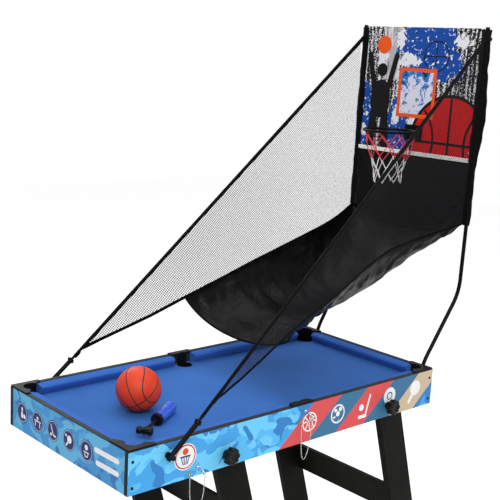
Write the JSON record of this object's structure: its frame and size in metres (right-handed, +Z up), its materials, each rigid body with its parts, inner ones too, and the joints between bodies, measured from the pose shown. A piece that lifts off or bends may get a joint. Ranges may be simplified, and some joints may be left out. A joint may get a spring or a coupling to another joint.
{
  "type": "basketball hoop machine",
  "caption": "Folding-leg games table carrying a tube frame with backboard, rim and net, side nets and a cloth chute that rolls the ball back to the felt bed.",
  "frame": {"origin": "centre of the bounding box footprint, on the floor", "axes": "+X along the table towards the backboard, +Y across the table away from the pin side, +Z up"},
  "size_m": [1.4192, 0.672, 1.9231],
  "materials": {
    "camo_print": "printed laminate on fibreboard, satin, black edge band",
    "felt": "blue playing cloth on fibreboard",
    "raw_board": "plain fibreboard",
    "cushion_felt": "blue cloth over rubber",
    "black_plastic": "moulded black plastic, fine grain",
    "black_board": "black laminated board, satin",
    "black_tube": "black powder coat",
    "zinc_steel": "zinc plated",
    "brass": "polished brass",
    "chrome": "bright nickel plate",
    "black_cloth": "black woven polyester with a slight sheen",
    "net_mesh": "fine diamond mesh net",
    "board_print": "printed board, satin",
    "black_rim": "black powder coat",
    "cord_net": "knitted cord, coloured upper half, white lower half",
    "ball_rubber": "pebbled orange rubber with black seams",
    "pump_blue": "glossy blue plastic"
  },
  "bodies": {
    "table": {"apron_near": "camo_print", "apron_far": "camo_print", "apron_left": "camo_print", "apron_right": "camo_print", "bed_board": "felt", "bed_batten": "raw_board", "pocket_left_near": "black_plastic", "pocket_right_near": "black_plastic", "pocket_left_far": "black_plastic", "pocket_right_far": "black_plastic", "pocket_side_near": "black_plastic", "pocket_side_far": "black_plastic", "cushion_near_left": "cushion_felt", "cushion_near_right": "cushion_felt", "cushion_far_left": "cushion_felt", "cushion_far_right": "cushion_felt", "cushion_end_left": "cushion_felt", "cushion_end_right": "cushion_felt", "upright_socket_near": "black_plastic", "frame_bolt_near": "black_plastic", "leg_hinge_bolt_near": "zinc_steel", "upright_socket_far": "black_plastic", "frame_bolt_far": "black_plastic", "leg_hinge_bolt_far": "zinc_steel", "eye_screw_left": "brass", "pin_chain_left": "chrome", "eye_screw_right": "brass", "pin_chain_right": "chrome"},
    "leg_frame_left": {"leg_post_left_near": "black_board", "leg_post_left_far": "black_board", "leg_panel_left": "black_board"},
    "leg_frame_right": {"leg_post_right_near": "black_board", "leg_post_right_far": "black_board", "leg_panel_right": "black_board"},
    "knob_left_near": {"knob_left_near": "black_plastic"},
    "knob_left_far": {"knob_left_far": "black_plastic"},
    "knob_right_near": {"knob_right_near": "black_plastic"},
    "knob_right_far": {"knob_right_far": "black_plastic"},
    "lock_pin_left": {"lock_pin_left": "chrome"},
    "lock_pin_right": {"lock_pin_right": "chrome"},
    "hoop_frame": {"front_tube_lower_near": "black_tube", "front_tube_lower_far": "black_tube", "front_tube_upper_near": "black_tube", "front_tube_upper_far": "black_tube", "upright_near": "black_tube", "upright_far": "black_tube", "top_rail": "black_tube", "backboard": "board_print", "board_sleeve_near": "black_cloth", "board_sleeve_far": "black_cloth", "rim": "black_rim", "hoop_net": "cord_net", "side_net_near": "net_mesh", "side_net_far": "net_mesh", "ball_chute": "black_cloth", "rear_cloth": "black_cloth"},
    "ball": {"ball": "ball_rubber"},
    "pump": {"pump_barrel": "pump_blue"},
    "pump_handle": {"pump_handle": "black_plastic"}
  },
  "joints": [
    {"name": "leg_frame_left_fold", "type": "hinge", "parent": "table", "child": "leg_frame_left", "pos_m": [-0.31962, 0, 0.726], "axis": [0, -1, 0], "range_deg": [0, 67]},
    {"name": "leg_frame_right_fold", "type": "hinge", "parent": "table", "child": "leg_frame_right", "pos_m": [0.28838, 0, 0.729], "axis": [0, 1, 0], "range_deg": [0, 92]},
    {"name": "knob_left_near_turn", "type": "hinge", "parent": "table", "child": "knob_left_near", "pos_m": [-0.38562, -0.3, 0.729], "axis": [0, -1, 0], "continuous": true},
    {"name": "knob_left_far_turn", "type": "hinge", "parent": "table", "child": "knob_left_far", "pos_m": [-0.38562, 0.3, 0.729], "axis": [0, 1, 0], "continuous": true},
    {"name": "knob_right_near_turn", "type": "hinge", "parent": "table", "child": "knob_right_near", "pos_m": [0.28838, -0.3, 0.729], "axis": [0, -1, 0], "continuous": true},
    {"name": "knob_right_far_turn", "type": "hinge", "parent": "table", "child": "knob_right_far", "pos_m": [0.28838, 0.3, 0.729], "axis": [0, 1, 0], "continuous": true},
    {"name": "lock_pin_left_pull", "type": "slide", "parent": "table", "child": "lock_pin_left", "axis": [0, -1, 0], "range_m": [0, 0.04]},
    {"name": "lock_pin_right_pull", "type": "slide", "parent": "table", "child": "lock_pin_right", "axis": [0, -1, 0], "range_m": [0, 0.04]},
    {"name": "hoop_frame_lift", "type": "hinge", "parent": "table", "child": "hoop_frame", "pos_m": [-0.58662, 0, 0.774], "axis": [0, -1, 0], "range_deg": [0, 30]},
    {"name": "ball_lift_off", "type": "slide", "parent": "table", "child": "ball", "axis": [0, 0, 1], "range_m": [0, 0.25]},
    {"name": "pump_lift_off", "type": "slide", "parent": "table", "child": "pump", "axis": [0, 0, 1], "range_m": [0, 0.15]},
    {"name": "pump_handle_stroke", "type": "slide", "parent": "pump", "child": "pump_handle", "axis": [-0.848, -0.53, 0], "range_m": [-0.065, 0.02]}
  ]
}
